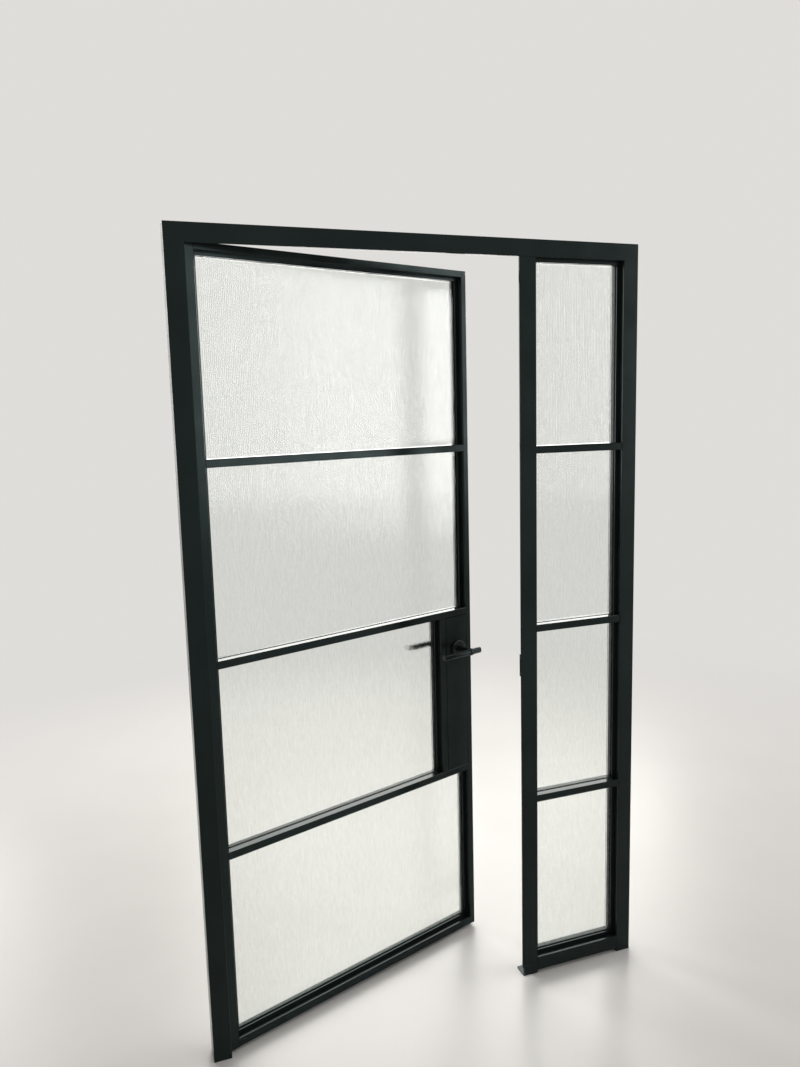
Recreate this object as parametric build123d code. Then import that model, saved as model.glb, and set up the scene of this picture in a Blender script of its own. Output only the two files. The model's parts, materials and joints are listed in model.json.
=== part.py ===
from build123d import *
import os

# Black steel-look glass door: a hinged leaf and a fixed side panel in one welded frame.
# Millimetres. X runs along the frame from the hinge side, Y from the near face to the far side, Z up.
# The origin is the centre of the hinge jamb's foot, on the floor.

# Frame
HEIGHT = 2100.0
FRAME_DEPTH = 51.0
JAMB_FACE = 45.0
HINGE_JAMB_FACE = 46.5
HINGE_LAP = 18.0
DOOR_CLEAR = 853.5
MULLION_FACE = 49.0
MULLION_WEB = 21.5
PANEL_CLEAR = 273.0
STOP_THICKNESS = 6.0
STOP_CUT_HEIGHT = 30.0
WALL = 2.0
EDGE_BEVEL = 1.0
FOOT_THICKNESS = 3.0
FOOT_PLATE_INSET = 4.0
PANEL_RAIL_Z = (10.0, 51.0)
PANEL_BAR_RECESS = 2.0

# Glazing, the same in leaf and panel
BAR_FACE = 20.5
BAR_Z = (536.5, 1040.5, 1539.0)
BAR_POCKET = 6.5
LEG_THICKNESS = 3.0
LEG_WIDE = 10.5
GLASS_THICKNESS = 6.0
GLASS_GAP = 2.5
GASKET_THICKNESS = 2.0
GASKET_WIDTH = 4.0
REED_PITCH = 18.0
REED_DEPTH = 0.5
PANEL_LEG_Y = 19.0
PANEL_BEAD_DEPTH = 15.0

# Leaf, measured from its hinge edge and its near face
LEAF_WIDTH = 877.5
LEAF_DEPTH = 42.0
LEAF_SETBACK = 9.0
LEAF_GAP = 2.5
LOCK_GAP = 6.0
LEAF_Z = (10.0, 2062.0)
HINGE_STILE_FACE = 23.5
LOCK_STILE_FACE = 18.0
TOP_RAIL_FACE = 18.0
BOTTOM_RAIL_FACE = 23.0
LEAF_LEG_Y = 17.0
LEAF_BEAD_DEPTH = 11.5
REST_OPEN = 18.6

# Lock side
LOCK_PANEL_WIDTH = 83.0
PANEL_JOINT = 1.0
TRAY_SHEET = 2.0
TRAY_RETURN = 10.0
TRAY_OPENING = 22.0
BACKSET = 55.0
LEVER_Z = 940.0
CASE_HEIGHT = 165.0
CASE_THICKNESS = 16.0
CASE_DEPTH = 82.0
CASE_WALL = 1.5
FOREND_WIDTH = 20.0
FOREND_HEIGHT = 235.0
FOREND_THICKNESS = 3.0
FOREND_SCREWS = 215.0
TAB_HEIGHT = 26.0
ROSE_RADIUS = 26.0
ROSE_THICKNESS = 8.0
NECK_RADIUS = 8.0
LEVER_STAND = 58.0
GRIP_LENGTH = 105.0
GRIP_RADIUS = 8.5
STUB_LENGTH = 36.0
STUB_RADIUS = 10.0
COLLAR_RADIUS = 11.5
COLLAR_WIDTH = 9.0
END_BEVEL = 1.5
SPINDLE = 8.0
SPINDLE_REACH = 28.0
FOLLOWER_RADIUS = 9.0
RUNNING = 0.05
BOLT_SIZE = (34.0, 11.0, 20.0)
BOLT_SLIDE = 0.3
BOLT_BEVEL = 3.0
STRIKE_SIZE = (18.0, 64.0)
STRIKE_THICKNESS = 2.0
STRIKE_SCREWS = 48.0
STRIKE_BOX_BACK = 3.0
SCREW_RADIUS = 2.1

# Hinges
HINGE_Z = (230.0, 1040.0, 1850.0)
HINGE_STAND = 7.0
BARREL_RADIUS = 6.5
BARREL_HEIGHT = 50.0
BARREL_GAP = 1.0
BARREL_CAP = 6.0
PIN_RADIUS = 3.5
STRAP = (12.0, 4.0)

# Fixing holes through the frame
FIXING_RADIUS = 4.25
HINGE_SIDE_FIXING_Z = (300.0, 1050.0, 1800.0)
PANEL_SIDE_FIXING_Z = (300.0, 1800.0)
STOP_SEAL = (8.0, 2.6)
STOP_SEAL_INSET = 1.75

# Places along X and Y that follow from the sizes
HINGE_TUBE = HINGE_JAMB_FACE - HINGE_LAP
X_WALL_LEFT = -HINGE_TUBE / 2
X_REBATE_LEFT = HINGE_TUBE / 2
X_CLEAR_LEFT = X_REBATE_LEFT + HINGE_LAP
X_CLEAR_RIGHT = X_CLEAR_LEFT + DOOR_CLEAR
X_PANEL_LEFT = X_CLEAR_RIGHT + MULLION_FACE
X_WEB = X_PANEL_LEFT - MULLION_WEB
X_PANEL_RIGHT = X_PANEL_LEFT + PANEL_CLEAR
X_WALL_RIGHT = X_PANEL_RIGHT + JAMB_FACE
Y_NEAR = -FRAME_DEPTH / 2
Y_FAR = FRAME_DEPTH / 2
HEAD_Z = HEIGHT - JAMB_FACE
REBATE_Z = HEAD_Z + HINGE_LAP * JAMB_FACE / HINGE_JAMB_FACE
LEAF_X = X_REBATE_LEFT + LEAF_GAP
LEAF_Y = Y_NEAR + LEAF_SETBACK
LOCK_EDGE = LEAF_X + LEAF_WIDTH
X_STRIKE = LOCK_EDGE + LOCK_GAP
X_GLAZED = (LEAF_X + HINGE_STILE_FACE, LOCK_EDGE - LOCK_STILE_FACE)
HINGE_X = X_REBATE_LEFT + LEAF_GAP / 2
HINGE_Y = Y_FAR + HINGE_STAND
SPINDLE_X = LOCK_EDGE - BACKSET
LOCK_Y = LEAF_Y + LEAF_DEPTH / 2
LOCK_PANEL_X = X_GLAZED[1] - LOCK_PANEL_WIDTH

LEAF_SWING = Pos(HINGE_X, HINGE_Y, 0) * Rot(0, 0, REST_OPEN) * Pos(-HINGE_X, -HINGE_Y, 0)

nodes = {}


def box(x, y, z):
    """Box between two corners, each argument a pair of limits."""
    size = Box(x[1] - x[0], y[1] - y[0], z[1] - z[0], align=(Align.MIN, Align.MIN, Align.MIN))
    return Pos(x[0], y[0], z[0]) * size


def upright(section, z):
    """A section drawn in X and Y, run up from z[0] to z[1]."""
    return Pos(0, 0, z[0]) * extrude(section, z[1] - z[0])


def level(section, x):
    """A section drawn with Z across and Y upwards, run along X from x[0] to x[1]."""
    return Plane(origin=(x[1], 0, 0), x_dir=(0, 0, 1), z_dir=(-1, 0, 0)) * extrude(section, x[1] - x[0])


def eased(section):
    """A section with all its corners bevelled."""
    return chamfer(section.vertices(), EDGE_BEVEL)


def tube(a, b, wall=WALL):
    """Rectangular tube section, a and b its limits across and in depth."""
    centre = Pos((a[0] + a[1]) / 2, (b[0] + b[1]) / 2)
    width = a[1] - a[0]
    depth = b[1] - b[0]
    return centre * (eased(Rectangle(width, depth)) - Rectangle(width - 2 * wall, depth - 2 * wall))


def rebated(start, end, lip):
    """Hollow frame section from start to end, with the stop flange running on to lip."""
    corners = [(start, Y_NEAR), (lip, Y_NEAR), (lip, Y_NEAR + STOP_THICKNESS),
               (end, Y_NEAR + STOP_THICKNESS), (end, Y_FAR), (start, Y_FAR)]
    outer = eased(make_face(Polyline(*corners, close=True)))
    hollow = Rectangle(abs(end - start) - 2 * WALL, FRAME_DEPTH - 2 * WALL)
    return outer - Pos((start + end) / 2, 0) * hollow


def fixing_holes(x, y, heights):
    """Plain holes in an upright, along X from x[0] to x[1]."""
    drill = Rot(0, 90, 0) * Cylinder(FIXING_RADIUS, x[1] - x[0])
    return [Pos((x[0] + x[1]) / 2, y, z) * drill for z in heights]


def spans(low, high, inset=0):
    """Heights between low and high, either side of each bar or of its web, inset from the bar's face."""
    limits = [low]
    for z in BAR_Z:
        limits += [z + inset, z + BAR_FACE - inset]
    limits.append(high)
    return list(zip(limits[::2], limits[1::2]))


# Frame members

def hinge_jamb():
    """Jamb with the hinges: closed foot, stop flange, mitred head."""
    inner = (X_WALL_LEFT + WALL, X_REBATE_LEFT - WALL)
    body = upright(rebated(X_WALL_LEFT, X_REBATE_LEFT, X_CLEAR_LEFT), (0, HEIGHT))
    body += box(inner, (Y_NEAR + WALL, Y_FAR - WALL), (0, FOOT_THICKNESS))
    body -= fixing_holes((X_WALL_LEFT, X_REBATE_LEFT), LOCK_Y, HINGE_SIDE_FIXING_Z)
    return split(body, bisect_by=hinge_mitre(), keep=Keep.BOTTOM)


def hinge_mitre():
    """Plane from corner to corner of the joint between hinge jamb and head."""
    return Plane(origin=(X_CLEAR_LEFT, 0, HEAD_Z), z_dir=(JAMB_FACE, 0, HINGE_JAMB_FACE))


def outer_jamb():
    """Jamb at the panel's outer side: glazing legs for its panes, anchor holes in its wall side."""
    inner = (X_PANEL_RIGHT + WALL, X_WALL_RIGHT - WALL)
    body = upright(tube((X_PANEL_RIGHT, X_WALL_RIGHT), (Y_NEAR, Y_FAR)), (0, HEIGHT))
    body += box(inner, (Y_NEAR + WALL, Y_FAR - WALL), (0, FOOT_THICKNESS))
    body -= fixing_holes((X_WALL_RIGHT - WALL, X_WALL_RIGHT), 0, PANEL_SIDE_FIXING_Z)
    mitre = Plane(origin=(X_PANEL_RIGHT, 0, HEAD_Z), z_dir=(-1, 0, 1))
    body = split(body, bisect_by=mitre, keep=Keep.BOTTOM)
    leg = (X_PANEL_RIGHT - LEG_WIDE, X_PANEL_RIGHT)
    return body + [box(leg, panel_leg_y(), z) for z in panel_heights()]


def head_rail():
    """Head over door and panel: stop flange over the door, glazing leg over the panel, mitred ends."""
    door = level(rebated(HEIGHT, REBATE_Z, HEAD_Z), (X_WALL_LEFT, X_WEB))
    panel = level(tube((HEAD_Z, HEIGHT), (Y_NEAR, Y_FAR)), (X_WEB, X_WALL_RIGHT))
    body = door + panel
    inner_y = (Y_NEAR + WALL, Y_FAR - WALL)
    body += box((X_WEB, X_WEB + WALL), inner_y, (HEAD_Z + WALL, REBATE_Z + WALL))
    right = Plane(origin=(X_PANEL_RIGHT, 0, HEAD_Z), z_dir=(-1, 0, 1))
    body = split(split(body, bisect_by=hinge_mitre(), keep=Keep.TOP), bisect_by=right, keep=Keep.TOP)
    leg_x = (X_PANEL_LEFT + LEG_WIDE, X_PANEL_RIGHT - LEG_WIDE)
    return body + box(leg_x, panel_leg_y(), (HEAD_Z - LEG_WIDE, HEAD_Z))


def mullion():
    """Post between door and panel: hollow web, stop flange cut short of the floor, glazing legs."""
    body = upright(rebated(X_PANEL_LEFT, X_WEB, X_CLEAR_RIGHT), (FOOT_THICKNESS, HEAD_Z))
    flange_y = (Y_NEAR - 1, Y_NEAR + STOP_THICKNESS + 1)
    body -= box((X_CLEAR_RIGHT - 1, X_WEB), flange_y, (0, STOP_CUT_HEIGHT))
    leg = (X_PANEL_LEFT, X_PANEL_LEFT + LEG_WIDE)
    return body + [box(leg, panel_leg_y(), z) for z in panel_heights()]


def mullion_foot_plate():
    """Plate that the mullion stands on, running a little out under the door side."""
    x = (X_CLEAR_RIGHT + FOOT_PLATE_INSET, X_PANEL_LEFT)
    y = (Y_NEAR + FOOT_PLATE_INSET, Y_FAR - FOOT_PLATE_INSET)
    plate = box(x, y, (0, FOOT_THICKNESS))
    return chamfer(plate.edges().filter_by(Axis.Z).group_by(Axis.X)[0], 2)


def panel_leg_y():
    return (Y_NEAR + PANEL_LEG_Y, Y_NEAR + PANEL_LEG_Y + LEG_THICKNESS)


def leaf_leg_y():
    return (LEAF_Y + LEAF_LEG_Y, LEAF_Y + LEAF_LEG_Y + LEG_THICKNESS)


def panel_heights(inset=0):
    return spans(PANEL_RAIL_Z[1], HEAD_Z, inset)


def leaf_heights(inset=0):
    return spans(LEAF_Z[0] + BOTTOM_RAIL_FACE, LEAF_Z[1] - TOP_RAIL_FACE, inset)


def panel_bottom_rail():
    body = level(tube(PANEL_RAIL_Z, (Y_NEAR, Y_FAR)), (X_PANEL_LEFT, X_PANEL_RIGHT))
    leg_z = (PANEL_RAIL_Z[1], PANEL_RAIL_Z[1] + LEG_WIDE)
    return body + box((X_PANEL_LEFT + LEG_WIDE, X_PANEL_RIGHT - LEG_WIDE), panel_leg_y(), leg_z)


def glazing_bar(z, x, y, leg_y):
    """Level bar: full face in front of the glass, a web behind, with a pocket above it and one below."""
    front = level(tube((z, z + BAR_FACE), (y[0], leg_y[1])), x)
    return front + box(x, (leg_y[1] - WALL, y[1]), (z + BAR_POCKET, z + BAR_FACE - BAR_POCKET))


# Leaf members, drawn closed

def stile_section(edge, inner):
    across = (min(edge, inner), max(edge, inner))
    return tube(across, (LEAF_Y, LEAF_Y + LEAF_DEPTH))


def hinge_stile():
    body = upright(stile_section(LEAF_X, X_GLAZED[0]), LEAF_Z)
    leg = (X_GLAZED[0], X_GLAZED[0] + LEG_WIDE)
    return body + [box(leg, leaf_leg_y(), z) for z in leaf_heights()]


def lock_stile():
    """Stile with the lock: cut out for the case and the forend, with a tab behind each forend end."""
    inner = X_GLAZED[1]
    body = upright(stile_section(inner, LOCK_EDGE), LEAF_Z)
    case_y = (LOCK_Y - CASE_THICKNESS / 2 - 0.5, LOCK_Y + CASE_THICKNESS / 2 + 0.5)
    case_z = (LEVER_Z - CASE_HEIGHT / 2 - 1, LEVER_Z + CASE_HEIGHT / 2 + 1)
    body -= box((inner - 1, LOCK_EDGE + 1), case_y, case_z)
    inner_y = (LEAF_Y + WALL, LEAF_Y + LEAF_DEPTH - WALL)
    tab_x = (LOCK_EDGE - FOREND_THICKNESS - WALL, LOCK_EDGE - WALL)
    for end in (-1, 1):
        centre = LEVER_Z + end * (FOREND_HEIGHT / 2 - 4)
        body += box(tab_x, inner_y, (centre - TAB_HEIGHT / 2, centre + TAB_HEIGHT / 2))
    body -= lock_forend_blank()
    leg = (inner - LEG_WIDE, inner)
    heights = leaf_heights()
    return body + [box(leg, leaf_leg_y(), heights[i]) for i in (0, 2, 3)]


def top_rail():
    z = (LEAF_Z[1] - TOP_RAIL_FACE, LEAF_Z[1])
    return leaf_rail(z, (z[0] - LEG_WIDE, z[0]))


def bottom_rail():
    z = (LEAF_Z[0], LEAF_Z[0] + BOTTOM_RAIL_FACE)
    return leaf_rail(z, (z[1], z[1] + LEG_WIDE))


def leaf_rail(z, leg_z):
    body = level(tube(z, (LEAF_Y, LEAF_Y + LEAF_DEPTH)), X_GLAZED)
    return body + box((X_GLAZED[0] + LEG_WIDE, X_GLAZED[1] - LEG_WIDE), leaf_leg_y(), leg_z)


def leaf_bar(index):
    """Level bar across the leaf. Its pocket beside the lock panel is filled."""
    z = BAR_Z[index]
    body = glazing_bar(z, X_GLAZED, (LEAF_Y, LEAF_Y + LEAF_DEPTH), leaf_leg_y())
    if index > 1:
        return body
    pocket = (z + BAR_FACE - BAR_POCKET, z + BAR_FACE) if index == 0 else (z, z + BAR_POCKET)
    filled = (LOCK_PANEL_X - BAR_FACE, X_GLAZED[1])
    return body + box(filled, (leaf_leg_y()[1], LEAF_Y + LEAF_DEPTH), pocket)


def lock_bar():
    """Short upright bar between the third pane and the lock panel."""
    x = (LOCK_PANEL_X - BAR_FACE, LOCK_PANEL_X)
    z = (BAR_Z[0] + BAR_FACE, BAR_Z[1])
    body = upright(tube(x, (LEAF_Y, LEAF_Y + LEAF_DEPTH)), z)
    return body + box((x[0] - LEG_WIDE, x[0]), leaf_leg_y(), z)


# Glass and what holds it

def reeded_glass(x, z, y):
    """Pane with convex upright reeds on its near face, y the limits of its thickness."""
    count = round((x[1] - x[0]) / REED_PITCH)
    pitch = (x[1] - x[0]) / count
    valley = y[0] + REED_DEPTH
    edge = []
    for i in range(count):
        start = x[0] + i * pitch
        edge.append(ThreePointArc((start, valley), (start + pitch / 2, y[0]), (start + pitch, valley)))
    edge.append(Polyline((x[1], valley), (x[1], y[1]), (x[0], y[1]), (x[0], valley)))
    return upright(make_face(edge), z)


def ring(x, z, y, width):
    """Square-cornered ring lying against the glass."""
    middle = box((x[0] + width, x[1] - width), (y[0] - 1, y[1] + 1), (z[0] + width, z[1] - width))
    return box(x, y, z) - middle


def pane(opening_x, opening_z, leg_y, bead_depth, lap_z):
    """Glass, its two gaskets and its four square-bar beads for one opening."""
    glass_x = (opening_x[0] + GLASS_GAP, opening_x[1] - GLASS_GAP)
    glass_z = (opening_z[0] + GLASS_GAP, opening_z[1] - GLASS_GAP)
    near = leg_y[1] + GASKET_THICKNESS
    far = near + GLASS_THICKNESS
    glass = reeded_glass(glass_x, glass_z, (near, far))
    gaskets = [ring(glass_x, glass_z, (leg_y[1], near), GASKET_WIDTH),
               ring(glass_x, glass_z, (far, far + GASKET_THICKNESS), GASKET_WIDTH)]
    bead_y = (far + GASKET_THICKNESS, far + GASKET_THICKNESS + bead_depth)
    between = (opening_x[0] + LEG_WIDE, opening_x[1] - LEG_WIDE)
    beads = [box((opening_x[0], between[0]), bead_y, opening_z),
             box((between[1], opening_x[1]), bead_y, opening_z),
             box(between, bead_y, (opening_z[0], opening_z[0] + lap_z[0])),
             box(between, bead_y, (opening_z[1] - lap_z[1], opening_z[1]))]
    return glass, gaskets, beads


def lap_heights(index):
    """How tall the level beads are below and above a pane, on the rails and in the bars' pockets."""
    return (LEG_WIDE if index == 0 else BAR_POCKET, LEG_WIDE if index == 3 else BAR_POCKET)


# Hinges: a lower half welded to the jamb, an upper half welded to the leaf and carried on the pin's end

def barrel(z, low, high, bore_z):
    """Barrel on the hinge axis from low to high above z, bored for the pin over bore_z."""
    body = extrude(Circle(BARREL_RADIUS), high - low)
    bore = extrude(Circle(PIN_RADIUS), bore_z[1] - bore_z[0])
    return Pos(HINGE_X, HINGE_Y, z) * (Pos(0, 0, low) * body - Pos(0, 0, bore_z[0]) * bore)


def strap(x, z):
    """Flat from the barrel on to the face that it is welded to."""
    return box(x, (Y_FAR, Y_FAR + STRAP[1]), z)


def frame_hinge(z):
    """Lower half: strap on the jamb's far face, barrel open right through for the pin."""
    limits = (-BARREL_HEIGHT, -BARREL_GAP / 2)
    reach = HINGE_X - PIN_RADIUS - 1
    flat = strap((reach - STRAP[0], reach), (z + limits[0], z + limits[1]))
    return flat + barrel(z, *limits, limits)


def leaf_hinge(z):
    """Upper half: strap on the stile's far face, barrel with a blind bore that stands on the pin."""
    limits = (BARREL_GAP / 2, BARREL_HEIGHT)
    reach = HINGE_X + PIN_RADIUS + 1
    flat = strap((reach, reach + STRAP[0]), (z + limits[0], z + limits[1]))
    return flat + barrel(z, *limits, (limits[0], BARREL_HEIGHT - BARREL_CAP))


def hinge_pin(z):
    """Pin fixed in the lower half, its end under the upper half's cap."""
    low = z - BARREL_HEIGHT
    high = z + BARREL_HEIGHT - BARREL_CAP - RUNNING
    return Pos(HINGE_X, HINGE_Y, low) * extrude(Circle(PIN_RADIUS), high - low)


# Lock

def lock_forend_blank():
    x = (LOCK_EDGE - FOREND_THICKNESS, LOCK_EDGE)
    y = (LOCK_Y - FOREND_WIDTH / 2, LOCK_Y + FOREND_WIDTH / 2)
    return box(x, y, (LEVER_Z - FOREND_HEIGHT / 2, LEVER_Z + FOREND_HEIGHT / 2))


def screw_holes(x, spacing):
    """Two screw holes through a plate in the lock's plane, along X from x[0] to x[1]."""
    drill = Rot(0, 90, 0) * Cylinder(SCREW_RADIUS, x[1] - x[0])
    return [Pos((x[0] + x[1]) / 2, LOCK_Y, LEVER_Z + end * spacing / 2) * drill for end in (-1, 1)]


def lock_forend():
    """Plate flush in the leaf's edge, with the bolt's opening and its screw holes."""
    x = (LOCK_EDGE - FOREND_THICKNESS, LOCK_EDGE)
    bolt = box((x[0] - 1, x[1] + 1), bolt_limits_y(BOLT_SLIDE), bolt_limits_z(BOLT_SLIDE))
    return lock_forend_blank() - bolt - screw_holes(x, FOREND_SCREWS)


def bolt_limits_y(room):
    return (LOCK_Y - BOLT_SIZE[1] / 2 - room, LOCK_Y + BOLT_SIZE[1] / 2 + room)


def bolt_limits_z(room):
    return (LEVER_Z - BOLT_SIZE[2] / 2 - room, LEVER_Z + BOLT_SIZE[2] / 2 + room)


def latch_bolt():
    """Flat bolt with a bevelled nose, flush with the leaf's edge."""
    body = box((LOCK_EDGE - BOLT_SIZE[0], LOCK_EDGE), bolt_limits_y(0), bolt_limits_z(0))
    return chamfer(body.edges().filter_by(Axis.Z).group_by(Axis.X)[-1], BOLT_BEVEL)


def lock_case():
    """Sheet case behind the forend, open towards it, bored for the follower."""
    x = (LOCK_EDGE - FOREND_THICKNESS - CASE_DEPTH, LOCK_EDGE - FOREND_THICKNESS)
    y = (LOCK_Y - CASE_THICKNESS / 2, LOCK_Y + CASE_THICKNESS / 2)
    z = (LEVER_Z - CASE_HEIGHT / 2, LEVER_Z + CASE_HEIGHT / 2)
    body = box(x, y, z)
    inner_y = (y[0] + CASE_WALL, y[1] - CASE_WALL)
    body -= box((x[0] + CASE_WALL, x[1]), inner_y, (z[0] + CASE_WALL, z[1] - CASE_WALL))
    bore = Rot(90, 0, 0) * Cylinder(FOLLOWER_RADIUS + RUNNING, CASE_THICKNESS + 2)
    return body - Pos(SPINDLE_X, LOCK_Y, LEVER_Z) * bore


def lock_tray(side):
    """Folded sheet over the lock, near (-1) or far (1), with a return on all four sides."""
    x = (LOCK_PANEL_X + PANEL_JOINT, X_GLAZED[1] - PANEL_JOINT)
    z = (BAR_Z[0] + BAR_FACE + PANEL_JOINT, BAR_Z[1] - PANEL_JOINT)
    face = LEAF_Y if side < 0 else LEAF_Y + LEAF_DEPTH
    y = (min(face, face - side * TRAY_RETURN), max(face, face - side * TRAY_RETURN))
    body = box(x, y, z)
    inner_x = (x[0] + TRAY_SHEET, x[1] - TRAY_SHEET)
    inner_z = (z[0] + TRAY_SHEET, z[1] - TRAY_SHEET)
    room = (y[0] + TRAY_SHEET, y[1] + 1) if side < 0 else (y[0] - 1, y[1] - TRAY_SHEET)
    body -= box(inner_x, room, inner_z)
    return body - Pos(SPINDLE_X, face, LEVER_Z) * Box(TRAY_OPENING, LEAF_DEPTH / 2, TRAY_OPENING)


def rose(side):
    """Round rose on the lock panel, bored for the lever's neck."""
    return lever_place(side) * extrude(Circle(ROSE_RADIUS) - Circle(NECK_RADIUS + RUNNING), ROSE_THICKNESS)


def lever_place(side):
    """Where a lever's own axes sit: Z out along its neck from the leaf's face, X to the hinge side."""
    face = LEAF_Y if side < 0 else LEAF_Y + LEAF_DEPTH
    out = Plane(origin=(SPINDLE_X, face, LEVER_Z), x_dir=(-1, 0, 0), z_dir=(0, side, 0))
    return out.location


def lever(side):
    """Bar lever: straight neck, collar round the bar, long grip and short thicker stub."""
    neck = Pos(0, 0, 1) * extrude(Circle(NECK_RADIUS), LEVER_STAND - 1)
    socket = box((-SPINDLE / 2, SPINDLE / 2), (-SPINDLE / 2, SPINDLE / 2), (0, SPINDLE_REACH))
    collar_x = (STUB_LENGTH - COLLAR_WIDTH / 2, STUB_LENGTH + COLLAR_WIDTH / 2)
    end_x = STUB_LENGTH + GRIP_LENGTH
    stub = [(0, 0), (0, STUB_RADIUS - END_BEVEL), (END_BEVEL, STUB_RADIUS), (collar_x[0], STUB_RADIUS)]
    collar = [(collar_x[0], COLLAR_RADIUS), (collar_x[1], COLLAR_RADIUS)]
    grip = [(collar_x[1], GRIP_RADIUS), (end_x - END_BEVEL, GRIP_RADIUS), (end_x, GRIP_RADIUS - END_BEVEL)]
    half = Polyline(*stub, *collar, *grip, (end_x, 0), close=True)
    bar = Pos(-STUB_LENGTH, 0, LEVER_STAND) * revolve(make_face(half), Axis.X)
    return lever_place(side) * (neck - socket + bar)


def spindle():
    """Square bar through the lock, into both levers."""
    reach = SPINDLE_REACH
    side = (-SPINDLE / 2, SPINDLE / 2)
    x = (SPINDLE_X + side[0], SPINDLE_X + side[1])
    return box(x, (LEAF_Y - reach, LEAF_Y + LEAF_DEPTH + reach), (LEVER_Z + side[0], LEVER_Z + side[1]))


def follower():
    """Round hub in the lock case, with the spindle's square hole."""
    section = Circle(FOLLOWER_RADIUS) - Rectangle(SPINDLE, SPINDLE)
    hub = Rot(90, 0, 0) * extrude(section, CASE_THICKNESS / 2, both=True)
    return Pos(SPINDLE_X, LOCK_Y, LEVER_Z) * hub


def strike_plate():
    """Plate on the face of the strike box, with an opening for the bolt."""
    x = (X_STRIKE, X_STRIKE + STRIKE_THICKNESS)
    y = (LOCK_Y - STRIKE_SIZE[0] / 2, LOCK_Y + STRIKE_SIZE[0] / 2)
    body = box(x, y, (LEVER_Z - STRIKE_SIZE[1] / 2, LEVER_Z + STRIKE_SIZE[1] / 2))
    body -= box((x[0] - 1, x[1] + 1), bolt_limits_y(1), bolt_limits_z(1))
    return body - screw_holes(x, STRIKE_SCREWS)


def strike_box():
    """Moulded box on the mullion's web, with a pocket for the bolt and the magnet."""
    x = (X_STRIKE + STRIKE_THICKNESS, X_WEB)
    y = (LOCK_Y - STRIKE_SIZE[0] / 2, LOCK_Y + STRIKE_SIZE[0] / 2)
    body = box(x, y, (LEVER_Z - STRIKE_SIZE[1] / 2, LEVER_Z + STRIKE_SIZE[1] / 2))
    return body - box((x[0] - 1, x[1] - STRIKE_BOX_BACK), bolt_limits_y(1), bolt_limits_z(1))


def stop_seal():
    """Three strips of rubber on the back of the stop flange, clear of the closed leaf."""
    width, depth = STOP_SEAL
    y = (Y_NEAR + STOP_THICKNESS, Y_NEAR + STOP_THICKNESS + depth)
    low = HEAD_Z + STOP_SEAL_INSET
    left_x = (X_CLEAR_LEFT - STOP_SEAL_INSET - width, X_CLEAR_LEFT - STOP_SEAL_INSET)
    right_x = (X_CLEAR_RIGHT + STOP_SEAL_INSET, X_CLEAR_RIGHT + STOP_SEAL_INSET + width)
    left = box(left_x, y, (STOP_CUT_HEIGHT, low))
    right = box(right_x, y, (STOP_CUT_HEIGHT, low))
    top = box((left_x[0], right_x[1]), y, (low, low + width))
    return Compound(children=[left, right, top])


def group(parts):
    """Separate solids in one node."""
    return Compound(children=[solid for part in parts for solid in part.solids()])


def swung(part):
    """A piece of the leaf, turned about the hinges from closed to the open rest position."""
    solids = [LEAF_SWING * solid for solid in part.solids()]
    return solids[0] if len(solids) == 1 else group(solids)


def frame_nodes():
    nodes["hinge_jamb"] = hinge_jamb()
    nodes["outer_jamb"] = outer_jamb()
    nodes["head_rail"] = head_rail()
    nodes["mullion"] = mullion()
    nodes["mullion_foot_plate"] = mullion_foot_plate()
    nodes["panel_bottom_rail"] = panel_bottom_rail()
    bar_y = (Y_NEAR + PANEL_BAR_RECESS, Y_FAR - PANEL_BAR_RECESS)
    for name, z in zip(("lower", "middle", "upper"), BAR_Z):
        nodes["panel_bar_" + name] = glazing_bar(z, (X_PANEL_LEFT, X_PANEL_RIGHT), bar_y, panel_leg_y())
    gaskets = []
    for index, name in enumerate(("bottom", "lower", "upper", "top")):
        span = (X_PANEL_LEFT, X_PANEL_RIGHT)
        height = panel_heights(BAR_POCKET)[index]
        parts = pane(span, height, panel_leg_y(), PANEL_BEAD_DEPTH, lap_heights(index))
        nodes["panel_glass_" + name] = parts[0]
        gaskets += parts[1]
        nodes["panel_beads_" + name] = group(parts[2])
    nodes["panel_gaskets"] = group(gaskets)
    nodes["stop_seal"] = stop_seal()
    nodes["strike_plate"] = strike_plate()
    nodes["strike_box"] = strike_box()
    nodes["frame_hinges"] = group([frame_hinge(z) for z in HINGE_Z])
    nodes["hinge_pins"] = group([hinge_pin(z) for z in HINGE_Z])


def leaf_nodes():
    parts = {"hinge_stile": hinge_stile(), "lock_stile": lock_stile(), "top_rail": top_rail(),
             "bottom_rail": bottom_rail(), "lock_bar": lock_bar()}
    for index, name in enumerate(("lower", "middle", "upper")):
        parts["leaf_bar_" + name] = leaf_bar(index)
    gaskets = []
    for index, name in enumerate(("bottom", "lock", "upper", "top")):
        end = LOCK_PANEL_X - BAR_FACE if index == 1 else X_GLAZED[1]
        height = leaf_heights(BAR_POCKET)[index]
        made = pane((X_GLAZED[0], end), height, leaf_leg_y(), LEAF_BEAD_DEPTH, lap_heights(index))
        parts["leaf_glass_" + name] = made[0]
        gaskets += made[1]
        parts["leaf_beads_" + name] = group(made[2])
    parts["leaf_gaskets"] = group(gaskets)
    parts["lock_panel_near"] = lock_tray(-1)
    parts["lock_panel_far"] = lock_tray(1)
    parts["rose_near"] = rose(-1)
    parts["rose_far"] = rose(1)
    parts["lock_case"] = lock_case()
    parts["lock_forend"] = lock_forend()
    parts["leaf_hinges"] = group([leaf_hinge(z) for z in HINGE_Z])
    parts["lever_near"] = lever(-1)
    parts["lever_far"] = lever(1)
    parts["spindle"] = spindle()
    parts["follower"] = follower()
    parts["latch_bolt"] = latch_bolt()
    for name, part in parts.items():
        nodes[name] = swung(part)


frame_nodes()
leaf_nodes()
os.makedirs("parts", exist_ok=True)
for name, part in nodes.items():
    export_step(part, f"parts/{name}.step")
print(len(nodes), "nodes")
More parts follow.
